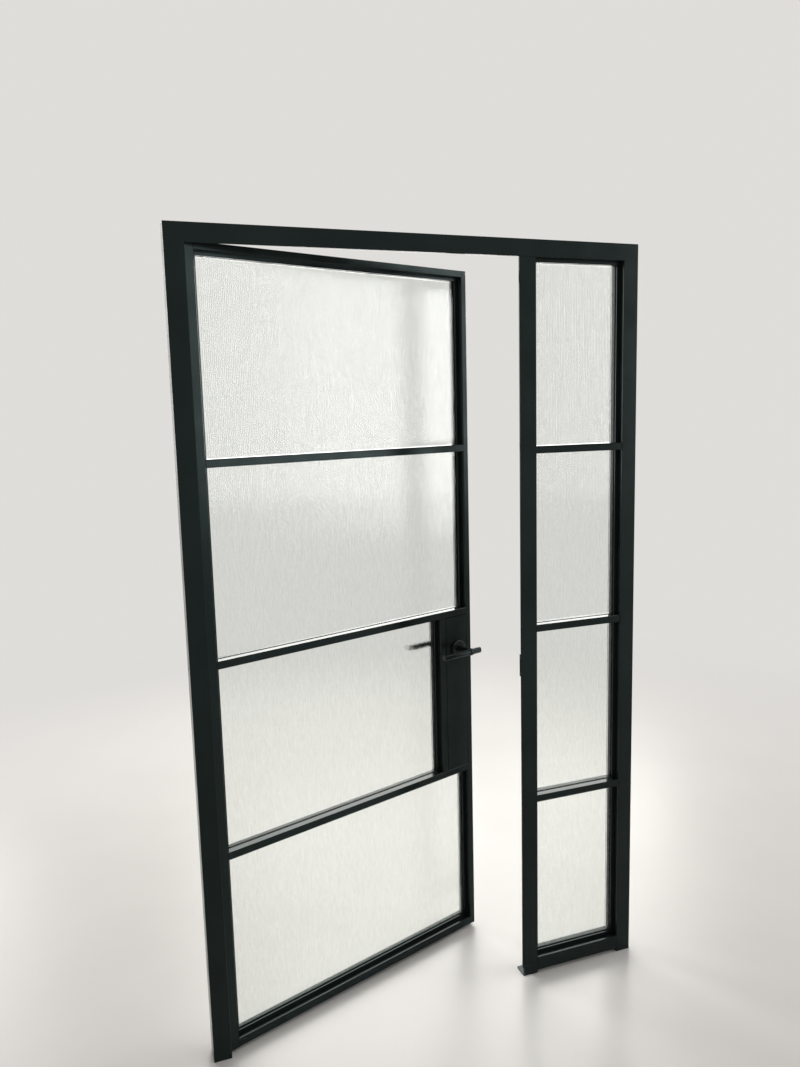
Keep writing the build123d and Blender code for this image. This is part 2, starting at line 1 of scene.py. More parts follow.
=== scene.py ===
import json
from math import pi, radians
import bmesh
import bpy
from mathutils import Matrix, Vector, noise


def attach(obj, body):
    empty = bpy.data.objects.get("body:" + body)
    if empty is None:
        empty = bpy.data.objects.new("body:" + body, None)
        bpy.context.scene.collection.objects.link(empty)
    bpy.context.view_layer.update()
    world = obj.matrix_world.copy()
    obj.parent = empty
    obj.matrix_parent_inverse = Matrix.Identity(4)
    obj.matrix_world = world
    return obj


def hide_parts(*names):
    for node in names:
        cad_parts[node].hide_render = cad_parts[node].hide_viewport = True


bl_info = {
    "name": "Steel look glass door",
    "version": (1, 0, 0),
    "blender": (4, 5, 0),
    "location": "3D View > Sidebar > Glass Door",
    "description": "Reeded panes, bar levers, screws, stile plugs and finishes for a black framed glass door",
    "category": "Object",
}

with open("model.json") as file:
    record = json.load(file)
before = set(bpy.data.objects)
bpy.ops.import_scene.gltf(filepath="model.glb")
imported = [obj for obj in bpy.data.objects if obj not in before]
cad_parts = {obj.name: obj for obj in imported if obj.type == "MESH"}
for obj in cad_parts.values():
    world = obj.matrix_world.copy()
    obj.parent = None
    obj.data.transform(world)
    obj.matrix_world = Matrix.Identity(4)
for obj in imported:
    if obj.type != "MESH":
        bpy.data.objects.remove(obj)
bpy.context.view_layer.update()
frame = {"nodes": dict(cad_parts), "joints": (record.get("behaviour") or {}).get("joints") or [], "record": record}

# The leaf stands open at rest: its pieces are drawn shut and then swung about the hinge pins.
HINGE = next(joint for joint in frame["joints"] if joint["name"] == "leaf_hinge")
PIN_LINE = Matrix.Translation(Vector(HINGE["pos_m"]))
REST_OPEN = -radians(HINGE["range_deg"][0])
SWING = PIN_LINE @ Matrix.Rotation(REST_OPEN, 4, "Z") @ PIN_LINE.inverted()
STILL = Matrix.Identity(4)

# Each glazed part: its name, its rows of panes from the floor up, its turn and its body.
GLAZING = (
    ("panel", ("bottom", "lower", "upper", "top"), STILL, "frame"),
    ("leaf", ("bottom", "lock", "upper", "top"), SWING, "leaf"),
)
# The leaf's two sides, with the direction in which each looks along Y.
SIDES = (("near", -1), ("far", 1))

# Vertices nearer than this are merged. Edges above these angles are rounded, or shaded sharp.
MERGE = 1e-6
SHARP = radians(30)
CREASE = radians(35)

# How finely the round pieces and the reeds are divided.
BAR_SIDES = 48
NECK_SIDES = 40
ROSE_SIDES = 64
HEAD_SIDES = 24
REED_FACETS = 4

# Size of the waves in the rolled glass, and the play of a lever's neck in its rose.
WAVE_WIDTH = 0.03
WAVE_LENGTH = 0.12
NECK_PLAY = 0.00005

# A screw head's upright rim and its socket's depth, as shares of its height.
UPRIGHT_RIM = 0.45
SOCKET_DEPTH = 0.7
# A screw head's crown, as a share of its radius, and a plate screw's height and socket.
CROWN = 0.72
PLATE_HEAD_HEIGHT = 0.16
PLATE_HEAD_SOCKET = 0.5

# Noise up to the first of these counts as none, and from the second on as full.
NO_NOISE = 0.32
FULL_NOISE = 0.68

# The camera's sensor in millimetres and its reach in metres, and the reference picture's height
# and focal length in pixels.
SENSOR = 36
VIEW_DEPTH = 200
PICTURE_HEIGHT = 1067
FOCAL_LENGTH = 845.6

# Filled by the finishes operator, with a material for each slot.
FINISHES = {}


def shut_box(node, turn):
    """Lowest and highest corner of a CAD node before the turn that puts it at rest."""
    back = turn.inverted()
    points = [back @ vertex.co for vertex in frame["nodes"][node].data.vertices]
    return Vector(map(min, zip(*points))), Vector(map(max, zip(*points)))


# Shaping

def verts_of(geom):
    """The vertices in what a bmesh operator returns."""
    return [item for item in geom if isinstance(item, bmesh.types.BMVert)]


def edges_of(geom):
    """The edges in what a bmesh operator returns."""
    return [item for item in geom if isinstance(item, bmesh.types.BMEdge)]


def edges_within(bm, verts):
    """The edges that run from one of the vertices to another."""
    return [edge for edge in bm.edges if all(vertex in verts for vertex in edge.verts)]


def sharp_edges(bm):
    """The edges whose two faces meet at more than the sharp angle."""
    return [edge for edge in bm.edges if len(edge.link_faces) == 2 and edge.calc_face_angle(0) > SHARP]


def ease(bm, edges, width):
    """Rounds the given edges."""
    bmesh.ops.bevel(bm, geom=edges, offset=width, offset_type="OFFSET", segments=3, profile=0.5,
                    affect="EDGES", material=-1, clamp_overlap=True)


def turned(bm, profile, steps, closed=False):
    """Turns a profile of (along, radius) points about the X axis."""
    points = [bm.verts.new((along, 0, radius)) for along, radius in profile]
    pairs = list(zip(points, points[1:]))
    if closed:
        pairs.append((points[-1], points[0]))
    edges = [bm.edges.new(pair) for pair in pairs]
    bmesh.ops.spin(bm, geom=points + edges, cent=(0, 0, 0), axis=(1, 0, 0), angle=2 * pi,
                   steps=steps, use_merge=True)
    bmesh.ops.remove_doubles(bm, verts=bm.verts, dist=MERGE)
    bmesh.ops.recalc_face_normals(bm, faces=bm.faces)


def as_mesh(name, bm):
    """Makes a mesh of a bmesh, which is freed."""
    mesh = bpy.data.meshes.new(name)
    bm.to_mesh(mesh)
    bm.free()
    return mesh


def join(bm, mesh):
    """Adds a mesh to a bmesh, and removes the mesh."""
    bm.from_mesh(mesh)
    bpy.data.meshes.remove(mesh)


def piece(name, bm, place, body, slot, stands_for=()):
    """Makes a finished object of a bmesh, puts it in place and sets it on its body."""
    mesh = as_mesh(name, bm)
    mesh.transform(place)
    mesh.shade_smooth()
    mesh.set_sharp_from_angle(angle=CREASE)
    mesh.materials.append(FINISHES[slot])
    made = bpy.data.objects.new(name, mesh)
    bpy.context.scene.collection.objects.link(made)
    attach(made, body)
    if stands_for:
        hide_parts(*stands_for)
    return made


# Finishes

class Shade:
    """One output of a shader node. Arithmetic on it adds Math nodes."""

    def __init__(self, graph, socket):
        self.graph = graph
        self.socket = socket

    def math(self, operation, first, second):
        """Adds a Math node."""
        return self.graph.node("ShaderNodeMath", {"operation": operation}, {0: first, 1: second})

    def larger(self, other):
        """The larger of two values, or either of two masks."""
        return self.math("MAXIMUM", self, other)

    def __add__(self, other):
        return self.math("ADD", self, other)

    def __sub__(self, other):
        return self.math("SUBTRACT", self, other)

    def __rsub__(self, other):
        return self.math("SUBTRACT", other, self)

    def __mul__(self, other):
        return self.math("MULTIPLY", self, other)

    __radd__ = __add__
    __rmul__ = __mul__


class Graph:
    """A tree of shader nodes that starts with nothing but its output."""

    def __init__(self, tree, output):
        self.tree = tree
        self.tree.nodes.clear()
        self.output = self.tree.nodes.new(output)

    def node(self, kind, settings=None, inputs=None, output=0):
        """Adds a node: its settings first, then the numbers or links of its sockets."""
        made = self.tree.nodes.new(kind)
        for key, value in (settings or {}).items():
            if key == "stops":
                for stop, (place, grey) in zip(made.color_ramp.elements, value):
                    stop.position = place
                    stop.color = (grey, grey, grey, 1)
            else:
                setattr(made, key, value)
        for key, value in (inputs or {}).items():
            if isinstance(value, Shade):
                self.tree.links.new(value.socket, made.inputs[key])
            else:
                made.inputs[key].default_value = value
        return Shade(self, made.outputs[output])

    def show(self, surface):
        """Links a shader to the output."""
        self.tree.links.new(surface.socket, self.output.inputs["Surface"])


def socket_name(word):
    """A Principled socket's name, from the word that stands for it in the code."""
    return word.replace("_", " ").title().replace("Ior", "IOR")


class Finish(Graph):
    """A material of one Principled shader and what feeds it."""

    def __init__(self, name, **fixed):
        self.material = bpy.data.materials.new(name)
        self.material.use_nodes = True
        super().__init__(self.material.node_tree, "ShaderNodeOutputMaterial")
        self.surface = self.node("ShaderNodeBsdfPrincipled")
        self.shader = self.surface.socket.node
        for word, value in fixed.items():
            self.shader.inputs[socket_name(word)].default_value = value
        self.show(self.surface)

    def feed(self, **links):
        """Links worked out values to the Principled shader."""
        for word, value in links.items():
            self.tree.links.new(value.socket, self.shader.inputs[socket_name(word)])
        return self

    def place(self, stretch=(1, 1, 1), shift=(0, 0, 0)):
        """Object coordinates, stretched so that a pattern is finer where the number is larger."""
        place = self.node("ShaderNodeTexCoord", output="Object")
        return self.node("ShaderNodeMapping", None, {"Vector": place, "Scale": stretch, "Location": shift})

    def speckle(self, scale, stretch=(1, 1, 1), detail=2.0, low=0.0, high=1.0):
        """Noise from low to high, its grains about 1 / scale metres across."""
        grain = self.node("ShaderNodeTexNoise", None,
                          {"Vector": self.place(stretch), "Scale": scale, "Detail": detail})
        spread = self.node("ShaderNodeValToRGB", {"stops": ((NO_NOISE, 0), (FULL_NOISE, 1))},
                           {"Fac": grain})
        return spread * (high - low) + low

    def blend(self, share, first, second):
        """Colour between two, by share."""
        return self.node("ShaderNodeMix", {"data_type": "RGBA"}, {0: share, 6: first, 7: second}, 2)

    def relief(self, height, depth, strength=1.0):
        """Surface relief, depth in metres."""
        return self.node("ShaderNodeBump", None, {"Height": height, "Distance": depth, "Strength": strength})


def opaque(colour):
    """A colour with full alpha."""
    return (*colour, 1.0)


def shaded(colour, factor):
    """A colour made darker by a factor under 1, or lighter by one above 1."""
    return opaque([min(1.0, part * factor) for part in colour])


def powder_coat(name, colour, roughness, gloss=0.16):
    """Satin powder coat: fine orange peel, and a gloss that drifts a little along the section."""
    coat = Finish(name, specular_ior_level=gloss, specular_tint=(0.72, 1.0, 0.97, 1.0))
    drift = coat.speckle(6, detail=3)
    peel = coat.speckle(750) + coat.speckle(220) * 0.5
    return coat.feed(
        base_color=coat.blend(drift, shaded(colour, 0.82), shaded(colour, 1.22)),
        roughness=coat.speckle(14, low=roughness - 0.05, high=roughness + 0.06),
        normal=coat.relief(peel, depth=0.00004, strength=0.6)).material


def glass_finish(colour):
    """Clear glass, with a fine upright grain that breaks up what is seen through it."""
    glass = Finish("reeded_glass", transmission_weight=1.0, ior=1.5)
    long_grain = (1, 1, 0.13)
    short_grain = (1, 1, 0.18)
    grain = glass.speckle(260, long_grain) * 0.5 + glass.speckle(620, short_grain, detail=1) * 0.5
    return glass.feed(
        base_color=glass.blend(1 - grain, opaque(colour), shaded(colour, 0.84)),
        roughness=glass.speckle(150, long_grain, low=0.04, high=0.11),
        normal=glass.relief(grain, depth=0.0002, strength=0.42)).material


def rubber(colour):
    """Matt extruded rubber with a fine grain."""
    gasket = Finish("gasket_rubber", specular_ior_level=0.3)
    return gasket.feed(
        base_color=gasket.blend(gasket.speckle(90), shaded(colour, 0.8), shaded(colour, 1.3)),
        roughness=gasket.speckle(200, low=0.6, high=0.8),
        normal=gasket.relief(gasket.speckle(900), depth=0.00003)).material


def zinc(colour):
    """Plated steel with fine level brush marks."""
    plate = Finish("zinc_steel", metallic=1.0)
    level_marks = (1, 1, 25)
    brushing = plate.speckle(60, level_marks)
    return plate.feed(
        base_color=plate.blend(plate.speckle(40), shaded(colour, 0.85), opaque(colour)),
        roughness=brushing * 0.14 + 0.3,
        normal=plate.relief(brushing, depth=0.00001)).material


def moulded(colour):
    """Moulded plastic with a fine spark texture."""
    plastic = Finish("black_plastic", specular_ior_level=0.25)
    return plastic.feed(
        base_color=plastic.blend(plastic.speckle(30), shaded(colour, 0.85), shaded(colour, 1.15)),
        roughness=plastic.speckle(300, low=0.45, high=0.6),
        normal=plastic.relief(plastic.speckle(1200), depth=0.00003)).material


# Settings

def a_length(name, text, default):
    return bpy.props.FloatProperty(name=name, description=text, default=default, min=0, unit="LENGTH",
                                   precision=4)


def a_colour(name, text, default):
    return bpy.props.FloatVectorProperty(name=name, description=text, default=default, size=3, min=0,
                                         max=1, subtype="COLOR")


def a_glow(name, text, default):
    return bpy.props.FloatProperty(name=name, description=text, default=default, min=0)


def an_angle(name, text, default):
    return bpy.props.FloatProperty(name=name, description=text, default=default, subtype="ANGLE")


class GlassSettings(bpy.types.PropertyGroup):
    reed_pitch: a_length("Reed pitch", "Width of one reed", 0.005)
    reed_depth: a_length("Reed depth", "How far a reed's crest stands out of its valleys", 0.0005)
    waviness: a_length("Waviness", "How far the rolled surface strays", 0.00005)
    wave_height: a_length("Wave height", "Height of one stretch of the wavy surface", 0.045)
    tint: a_colour("Tint", "Colour of light that has passed through", (0.93, 0.96, 0.94))


class LeverSettings(bpy.types.PropertyGroup):
    stub_radius: a_length("Stub radius", "Radius of the short end", 0.010)
    grip_radius: a_length("Grip radius", "Radius of the long end", 0.0085)
    collar_radius: a_length("Collar radius", "Radius of the ring round the neck", 0.0115)
    collar_width: a_length("Collar width", "Length of the ring along the bar", 0.009)
    neck_radius: a_length("Neck radius", "Radius of the neck out of the rose", 0.008)
    end_radius: a_length("Rim", "Rounding of the bar's ends and the rose's edge", 0.0014)


class ScrewSettings(bpy.types.PropertyGroup):
    head_radius: a_length("Head radius", "Radius of a bead screw's head", 0.0022)
    head_height: a_length("Head height", "How far a bead screw's head stands out", 0.0011)
    socket: a_length("Socket", "Radius of the hexagon socket", 0.0010)
    end_distance: a_length("End distance", "From the end of a bead to its nearest screw", 0.085)
    lap: a_length("Lap", "Width of an upright bead", 0.0105)
    plate_head: a_length("Plate head", "Radius of a countersunk head in a lock plate", 0.0039)
    plate_spacing: a_length("Plate spacing", "Between the two screws of the forend", 0.215)
    strike_spacing: a_length("Strike spacing", "Between the two screws of the strike plate", 0.048)


class PlugSettings(bpy.types.PropertyGroup):
    hinge_face: a_length("Hinge stile face", "Width of the hinge stile's tube", 0.0235)
    lock_face: a_length("Lock stile face", "Width of the lock stile's tube", 0.018)
    wall: a_length("Wall", "Wall of the tube and play round the plug", 0.00205)
    depth: a_length("Depth", "How far a plug goes into its tube", 0.006)
    inset: a_length("Inset", "From the tube's end to the plug's face", 0.0003)
    rim: a_length("Rim", "Rounding round the plug's face", 0.0008)


class FinishSettings(bpy.types.PropertyGroup):
    coat: a_colour("Frame", "Powder coat of frame and leaf", (0.0085, 0.0120, 0.0115))
    lever: a_colour("Levers", "Coat of levers and roses", (0.0095, 0.0120, 0.0112))
    hinge: a_colour("Hinges", "Coat of the hinges", (0.0085, 0.0120, 0.0115))
    rubber: a_colour("Rubber", "Gaskets and stop seal", (0.012, 0.012, 0.012))
    steel: a_colour("Steel", "Lock case, spindle, pins, bolt and plate screws", (0.55, 0.55, 0.54))
    plastic: a_colour("Plastic", "Keeper box and stile plugs", (0.010, 0.012, 0.012))


class StageSettings(bpy.types.PropertyGroup):
    ground: a_colour("Ground", "Colour of floor and background", (0.74, 0.725, 0.70))
    ambient: a_glow("Ambient", "Light from all round", 0.42)
    back_glow: a_glow("Back glow", "The two lamps behind the door", 5.0)
    corner_glow: a_glow("Corner glow", "Lamp behind the hinge jamb", 4.0)
    side_glow: a_glow("Side glow", "Lamp at the front right", 4.6)
    top_glow: a_glow("Top glow", "Lamp above the right", 4.0)
    eye: bpy.props.FloatVectorProperty(name="Eye", description="Where the camera stands", size=3,
                                       default=(-0.1971, -2.0645, 1.658), subtype="TRANSLATION")
    yaw: an_angle("Yaw", "Camera turned to the right of +Y", 0.34476)
    pitch: an_angle("Pitch", "Camera tipped down", radians(8.116))
    roll: an_angle("Roll", "Camera rolled clockwise", radians(1.473))
    lens: bpy.props.FloatProperty(name="Lens", description="Focal length in millimetres",
                                  default=FOCAL_LENGTH / PICTURE_HEIGHT * SENSOR)


class GLASSDOOR_OT_finishes(bpy.types.Operator):
    """Make the finishes and give each CAD node the one of its slot"""
    bl_idname = "glassdoor.finishes"
    bl_label = "Finishes"

    def execute(self, context):
        colours = context.scene.door_finishes
        FINISHES["black_coat"] = powder_coat("black_coat", colours.coat, 0.2)
        FINISHES["lever_coat"] = powder_coat("lever_coat", colours.lever, 0.22, gloss=0.25)
        FINISHES["hinge_coat"] = powder_coat("hinge_coat", colours.hinge, 0.25)
        FINISHES["reeded_glass"] = glass_finish(context.scene.door_glass.tint)
        FINISHES["gasket_rubber"] = rubber(colours.rubber)
        FINISHES["zinc_steel"] = zinc(colours.steel)
        FINISHES["black_plastic"] = moulded(colours.plastic)
        for part in frame["record"]["subparts"]:
            node = frame["nodes"][part["node"]]
            node.data.materials.clear()
            node.data.materials.append(FINISHES[part["material_slot"]])
        return {"FINISHED"}


def reeded_pane(low, high, sizes):
    """Pane with rounded upright reeds on its near face and a flat far face."""
    width = high.x - low.x
    height = high.z - low.z
    reeds = round(width / sizes.reed_pitch)
    pitch = width / reeds
    bm = bmesh.new()
    bmesh.ops.create_grid(bm, x_segments=reeds * REED_FACETS,
                          y_segments=round(height / sizes.wave_height), size=0.5)
    upright = Matrix.Rotation(pi / 2, 4, "X")
    centre = Matrix.Translation(((low.x + high.x) / 2, high.y, (low.z + high.z) / 2))
    stretch = Matrix.Diagonal((width, height, 1, 1))
    bmesh.ops.transform(bm, matrix=centre @ upright @ stretch, verts=bm.verts)
    near = bmesh.ops.extrude_face_region(bm, geom=bm.faces[:])["geom"]
    for vertex in verts_of(near):
        across = ((vertex.co.x - low.x) / pitch) % 1
        # 0 in the valleys and 1 on the crest, with a round back between them.
        crest = 4 * across * (1 - across)
        stray = noise.noise((vertex.co.x / WAVE_WIDTH, 0, vertex.co.z / WAVE_LENGTH)) * 0.5 + 0.5
        vertex.co.y = low.y + sizes.reed_depth * (1 - crest) + sizes.waviness * stray
    bmesh.ops.recalc_face_normals(bm, faces=bm.faces)
    return bm


class GLASSDOOR_OT_panes(bpy.types.Operator):
    """Model the eight panes of reeded glass"""
    bl_idname = "glassdoor.panes"
    bl_label = "Reeded panes"

    def execute(self, context):
        sizes = context.scene.door_glass
        for group, rows, turn, body in GLAZING:
            for row in rows:
                node = f"{group}_glass_{row}"
                low, high = shut_box(node, turn)
                pane = piece(f"{group}_pane_{row}", reeded_pane(low, high, sizes), turn, body,
                             "reeded_glass", (node,))
                pane.visible_shadow = False
                pane.visible_glossy = False
        return {"FINISHED"}


def foot_y(low, high, side):
    """Where a piece between two corners stands on the leaf's side."""
    return high.y if side < 0 else low.y


def stand_out(bm, low, high, side, spindle_x):
    """Turns a shape drawn along X to stand out of the leaf's side, round the spindle."""
    foot = Matrix.Translation((spindle_x, foot_y(low, high, side), (low.z + high.z) / 2))
    bmesh.ops.transform(bm, matrix=foot @ Matrix.Rotation(side * pi / 2, 4, "Z"), verts=bm.verts)


def bar_lever(low, high, side, spindle_x, sizes):
    """Bar with a short and a long end, and its neck, in the shut leaf."""
    bar_y = low.y + sizes.collar_radius if side < 0 else high.y - sizes.collar_radius
    stub_x = high.x - spindle_x
    grip_x = spindle_x - low.x
    half = sizes.collar_width / 2
    bm = bmesh.new()
    turned(bm, ((-stub_x, 0), (-stub_x, sizes.stub_radius), (-half, sizes.stub_radius),
                (-half, sizes.collar_radius), (half, sizes.collar_radius), (half, sizes.grip_radius),
                (grip_x, sizes.grip_radius), (grip_x, 0)), BAR_SIDES)
    ease(bm, sharp_edges(bm), sizes.end_radius)
    bmesh.ops.transform(bm, matrix=Matrix.Rotation(pi, 4, "Z"), verts=bm.verts)
    bmesh.ops.translate(bm, vec=(spindle_x, bar_y, (low.z + high.z) / 2), verts=bm.verts)
    neck = bmesh.new()
    reach = abs(bar_y - foot_y(low, high, side))
    turned(neck, ((0, 0), (0, sizes.neck_radius), (reach, sizes.neck_radius), (reach, 0)), NECK_SIDES)
    stand_out(neck, low, high, side, spindle_x)
    join(bm, as_mesh("neck", neck))
    return bm


def round_rose(low, high, side, spindle_x, sizes):
    """Round plate with a bore for the neck and a rounded outer edge."""
    radius = (high.z - low.z) / 2
    depth = high.y - low.y
    bore = sizes.neck_radius + NECK_PLAY
    bm = bmesh.new()
    turned(bm, ((0, bore), (0, radius), (depth, radius), (depth, bore)), ROSE_SIDES, closed=True)
    front = [edge for edge in sharp_edges(bm) if min(vertex.co.x for vertex in edge.verts) > depth / 2]
    ease(bm, front, sizes.end_radius)
    stand_out(bm, low, high, side, spindle_x)
    return bm


class GLASSDOOR_OT_levers(bpy.types.Operator):
    """Model the two bar levers and their roses with rounded rims"""
    bl_idname = "glassdoor.levers"
    bl_label = "Levers"

    def execute(self, context):
        sizes = context.scene.door_lever
        low, high = shut_box("spindle", SWING)
        spindle_x = (low.x + high.x) / 2
        for name, side in SIDES:
            bar = bar_lever(*shut_box("lever_" + name, SWING), side, spindle_x, sizes)
            piece("bar_lever_" + name, bar, SWING, "lever", "lever_coat", ("lever_" + name,))
            rose = round_rose(*shut_box("rose_" + name, SWING), side, spindle_x, sizes)
            piece("round_rose_" + name, rose, SWING, "leaf", "lever_coat", ("rose_" + name,))
        return {"FINISHED"}


def drawn_out(bm, edges):
    """Extrudes a loop of edges, and returns the new vertices and edges."""
    new = bmesh.ops.extrude_edge_only(bm, edges=edges)["geom"]
    return verts_of(new), edges_of(new)


def screw_head(radius, height, socket):
    """Low domed head with a hexagon socket, its foot at the origin and its axis along Z."""
    bm = bmesh.new()
    foot = bmesh.ops.create_circle(bm, segments=HEAD_SIDES, radius=radius)["verts"]
    rim, rim_edges = drawn_out(bm, bm.edges[:])
    bmesh.ops.translate(bm, vec=(0, 0, height * UPRIGHT_RIM), verts=rim)
    crown, crown_edges = drawn_out(bm, rim_edges)
    bmesh.ops.scale(bm, vec=(CROWN, CROWN, 1), verts=crown)
    bmesh.ops.translate(bm, vec=(0, 0, height * (1 - UPRIGHT_RIM)), verts=crown)
    hexagon = bmesh.ops.create_circle(bm, segments=6, radius=socket)["verts"]
    bmesh.ops.translate(bm, vec=(0, 0, height), verts=hexagon)
    mouth = edges_within(bm, hexagon)
    bmesh.ops.bridge_loops(bm, edges=crown_edges + mouth)
    floor = drawn_out(bm, mouth)[0]
    bmesh.ops.translate(bm, vec=(0, 0, -height * SOCKET_DEPTH), verts=floor)
    bmesh.ops.contextual_create(bm, geom=floor)
    bmesh.ops.contextual_create(bm, geom=foot)
    bmesh.ops.recalc_face_normals(bm, faces=bm.faces)
    return as_mesh("screw_head", bm)


def placed(head, places):
    """One bmesh with a copy of the head at each place."""
    bm = bmesh.new()
    for place in places:
        copy = head.copy()
        copy.transform(place)
        join(bm, copy)
    return bm


class GLASSDOOR_OT_screws(bpy.types.Operator):
    """Set the screw heads in the beads, the forend and the strike plate"""
    bl_idname = "glassdoor.screws"
    bl_label = "Screws"

    def execute(self, context):
        sizes = context.scene.door_screws
        head = screw_head(sizes.head_radius, sizes.head_height, sizes.socket)
        for group, rows, turn, body in GLAZING:
            places = []
            for row in rows:
                places += self.bead_places(group, row, turn, sizes)
            piece(group + "_bead_screws", placed(head, places), turn, body, "black_coat")
        flush = screw_head(sizes.plate_head, sizes.plate_head * PLATE_HEAD_HEIGHT,
                           sizes.plate_head * PLATE_HEAD_SOCKET)
        low, high = shut_box("lock_forend", SWING)
        places = self.plate_places(high.x, low, high, sizes.plate_spacing, pi / 2)
        piece("forend_screws", placed(flush, places), SWING, "leaf", "zinc_steel")
        low, high = shut_box("strike_plate", STILL)
        places = self.plate_places(low.x, low, high, sizes.strike_spacing, -pi / 2)
        piece("strike_screws", placed(flush, places), STILL, "frame", "zinc_steel")
        return {"FINISHED"}

    def plate_places(self, face_x, low, high, spacing, facing):
        """Two heads on the face of an upright plate, above and below its middle."""
        middle = (low + high) / 2
        return [Matrix.Translation((face_x, middle.y, middle.z + end * spacing / 2))
                @ Matrix.Rotation(facing, 4, "Y") for end in (-1, 1)]

    def bead_places(self, group, row, turn, sizes):
        """Heads on the inner faces of the two upright beads beside one pane."""
        low, high = shut_box(f"{group}_beads_{row}", turn)
        middle_y = (low.y + high.y) / 2
        return [Matrix.Translation((x, middle_y, z)) @ Matrix.Rotation(facing, 4, "Y")
                for x, facing in ((low.x + sizes.lap, pi / 2), (high.x - sizes.lap, -pi / 2))
                for z in (low.z + sizes.end_distance, high.z - sizes.end_distance)]


class GLASSDOOR_OT_plugs(bpy.types.Operator):
    """Close the open ends of the leaf's two stiles with moulded plugs"""
    bl_idname = "glassdoor.plugs"
    bl_label = "Stile plugs"

    def execute(self, context):
        sizes = context.scene.door_plugs
        hinge_low, hinge_high = shut_box("hinge_stile", SWING)
        lock_high = shut_box("lock_stile", SWING)[1]
        bm = bmesh.new()
        for start, face in ((hinge_low.x, sizes.hinge_face),
                            (lock_high.x - sizes.lock_face, sizes.lock_face)):
            low = Vector((start + sizes.wall, hinge_low.y + sizes.wall, hinge_low.z + sizes.inset))
            high = Vector((start + face - sizes.wall, hinge_high.y - sizes.wall, hinge_high.z - sizes.inset))
            self.plug(bm, low, Vector((high.x, high.y, low.z + sizes.depth)), -1, sizes.rim)
            self.plug(bm, Vector((low.x, low.y, high.z - sizes.depth)), high, 1, sizes.rim)
        piece("stile_plugs", bm, SWING, "leaf", "black_plastic")
        return {"FINISHED"}

    def plug(self, bm, low, high, way, rim):
        """Block between two corners with a rounded face, above for way 1 and below for way -1."""
        centre = (low + high) / 2
        place = Matrix.Translation(centre) @ Matrix.Diagonal((*(high - low), 1))
        block = bmesh.ops.create_cube(bm, size=1, matrix=place)["verts"]
        face = [vertex for vertex in block if (vertex.co.z - centre.z) * way > 0]
        ease(bm, edges_within(bm, face), rim)


# Stage

WHITE = (1, 1, 1)
WARM = (1, 0.98, 0.95)
# Each lamp: name, width and height, setting of its glow, place, target, colour of its light, and
# whether it lights matt surfaces too.
LAMPS = (
    ("back_light", (2.2, 2.4), "back_glow", (1.4, 3.2, 2.35), (0.9, 0, 0.9), WARM, True),
    ("panel_light", (1.2, 2.4), "back_glow", (3.2, 3.2, 2.35), (1.1, 0, 0.9), WARM, False),
    ("corner_light", (1.1, 2.4), "corner_glow", (-1.2, 3.2, 2.2), (0.6, 0, 1.0), WHITE, True),
    ("side_light", (7.3, 5.8), "side_glow", (11.97, -7.67, 2.64), (0.5, 0, 1.2), WHITE, True),
    ("top_light", (2.0, 2.0), "top_glow", (4.4, -0.5, 4.2), (0.8, 0.27, 0.94), WHITE, True),
)

# The floor fades into the background between two distances from the middle of the door.
FLOOR_RADIUS = 60
FLOOR_SIDES = 96
DOOR_MIDDLE_X = 0.6
FADE_START = 1.0
FADE_END = 4.2

# The rays that see the background at full strength.
SEEING_RAYS = ("Is Camera Ray", "Is Glossy Ray", "Is Transmission Ray")


def softbox(name, size, glow, place, target, light_colour, lights_matt):
    """Rectangular lamp turned to its target. glow is how bright its face looks, 1 being white."""
    lamp = bpy.data.lights.new(name, "AREA")
    lamp.shape = "RECTANGLE"
    lamp.size, lamp.size_y = size
    lamp.energy = glow * pi * size[0] * size[1]
    lamp.color = light_colour
    holder = bpy.data.objects.new(name, lamp)
    holder.location = place
    holder.rotation_euler = (Vector(target) - Vector(place)).to_track_quat("-Z", "Y").to_euler()
    holder.visible_camera = False
    holder.visible_transmission = False
    holder.visible_diffuse = lights_matt
    bpy.context.scene.collection.objects.link(holder)


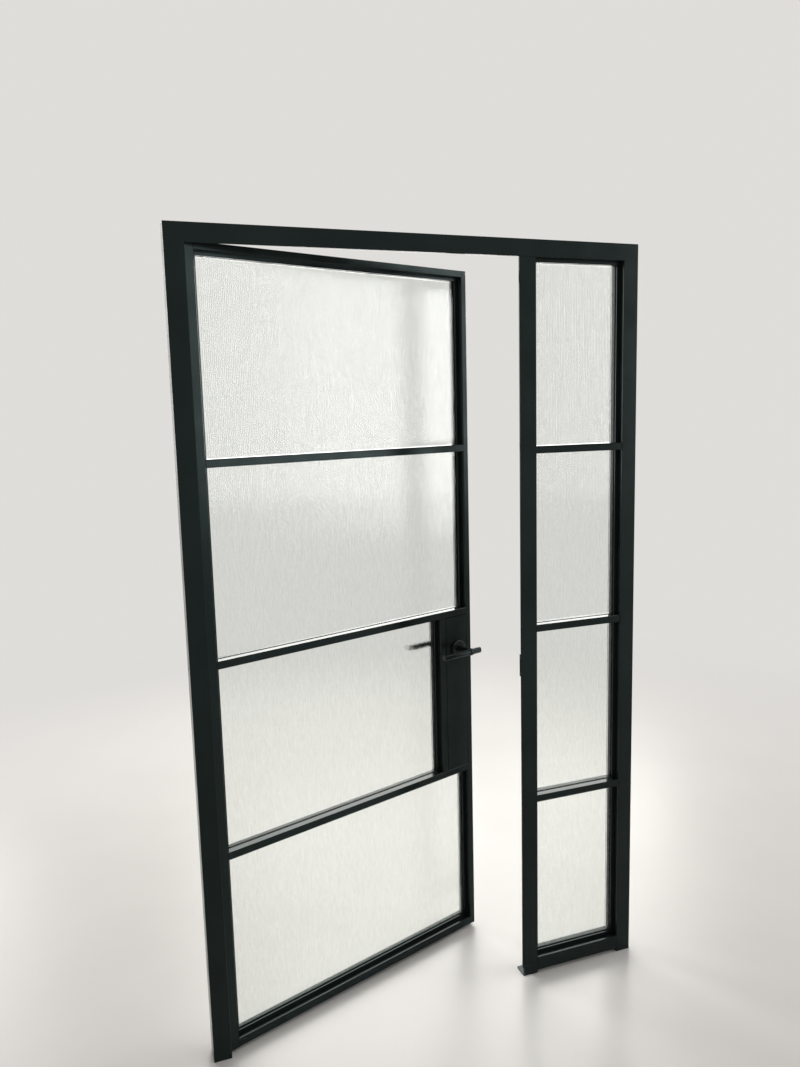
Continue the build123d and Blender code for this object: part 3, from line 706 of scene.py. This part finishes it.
class GLASSDOOR_OT_stage(bpy.types.Operator):
    """Set the floor, the light and the camera"""
    bl_idname = "glassdoor.stage"
    bl_label = "Stage"

    def execute(self, context):
        scene = context.scene
        stage = scene.door_stage
        scene.view_settings.view_transform = "Standard"
        self.surroundings(scene, stage)
        self.floor(scene, stage)
        for name, size, glow, place, target, light_colour, lights_matt in LAMPS:
            softbox(name, size, getattr(stage, glow), place, target, light_colour, lights_matt)
        self.camera(scene, stage)
        return {"FINISHED"}

    def surroundings(self, scene, stage):
        """Background at full strength where it is seen, and weaker as a light."""
        world = bpy.data.worlds.new("studio")
        world.use_nodes = True
        sky = Graph(world.node_tree, "ShaderNodeOutputWorld")
        direct, mirrored, through = (sky.node("ShaderNodeLightPath", output=ray) for ray in SEEING_RAYS)
        seen = direct.larger(mirrored).larger(through)
        strength = sky.node("ShaderNodeMapRange", None, {"Value": seen, "To Min": stage.ambient})
        sky.show(sky.node("ShaderNodeBackground", None,
                          {"Color": opaque(stage.ground), "Strength": strength}))
        scene.world = world

    def floor(self, scene, stage):
        """Wide pale floor that meets the background without a line."""
        bm = bmesh.new()
        bmesh.ops.create_circle(bm, cap_ends=True, segments=FLOOR_SIDES, radius=FLOOR_RADIUS)
        mesh = as_mesh("floor", bm)
        ground = bpy.data.objects.new("floor", mesh)
        scene.collection.objects.link(ground)
        paint = Finish("pale_floor", specular_ior_level=0.4, roughness=0.32)
        paint.feed(base_color=paint.blend(paint.speckle(3), shaded(stage.ground, 0.97), opaque(stage.ground)))
        distance = paint.node("ShaderNodeVectorMath", {"operation": "LENGTH"},
                              {0: paint.place(shift=(-DOOR_MIDDLE_X, 0, 0))}, "Value")
        far = paint.node("ShaderNodeMapRange", {"interpolation_type": "SMOOTHSTEP"},
                         {"Value": distance, "From Min": FADE_START, "From Max": FADE_END})
        haze = paint.node("ShaderNodeEmission", None, {"Color": opaque(stage.ground)})
        paint.show(paint.node("ShaderNodeMixShader", None, {0: far, 1: paint.surface, 2: haze}))
        mesh.materials.append(paint.material)

    def camera(self, scene, stage):
        """Camera at the viewing angle of the reference picture."""
        camera = bpy.data.objects.new("camera", bpy.data.cameras.new("camera"))
        camera.data.lens = stage.lens
        camera.data.sensor_width = SENSOR
        camera.data.clip_end = VIEW_DEPTH
        camera.location = stage.eye
        camera.rotation_euler = (Matrix.Rotation(-stage.yaw, 3, "Z")
                                 @ Matrix.Rotation(pi / 2 - stage.pitch, 3, "X")
                                 @ Matrix.Rotation(-stage.roll, 3, "Z")).to_euler()
        scene.collection.objects.link(camera)
        scene.camera = camera


class GLASSDOOR_PT_panel(bpy.types.Panel):
    """The pieces of the glass door, in the order they are made"""
    bl_label = "Glass door"
    bl_idname = "GLASSDOOR_PT_panel"
    bl_space_type = "VIEW_3D"
    bl_region_type = "UI"
    bl_category = "Glass Door"

    def draw(self, context):
        for step in STEPS:
            self.layout.operator(step.bl_idname)


SETTINGS = {
    "door_glass": GlassSettings,
    "door_lever": LeverSettings,
    "door_screws": ScrewSettings,
    "door_plugs": PlugSettings,
    "door_finishes": FinishSettings,
    "door_stage": StageSettings,
}
STEPS = (GLASSDOOR_OT_finishes, GLASSDOOR_OT_panes, GLASSDOOR_OT_levers, GLASSDOOR_OT_screws,
         GLASSDOOR_OT_plugs, GLASSDOOR_OT_stage)


def register():
    for made in (*SETTINGS.values(), *STEPS, GLASSDOOR_PT_panel):
        bpy.utils.register_class(made)
    for name, group in SETTINGS.items():
        setattr(bpy.types.Scene, name, bpy.props.PointerProperty(type=group))


def unregister():
    for name in SETTINGS:
        delattr(bpy.types.Scene, name)
    for made in (GLASSDOOR_PT_panel, *reversed(STEPS), *reversed(SETTINGS.values())):
        bpy.utils.unregister_class(made)


def main():
    register()
    bpy.ops.glassdoor.finishes()
    bpy.ops.glassdoor.panes()
    bpy.ops.glassdoor.levers()
    bpy.ops.glassdoor.screws()
    bpy.ops.glassdoor.plugs()
    bpy.ops.glassdoor.stage()


if __name__ == "__main__":
    main()
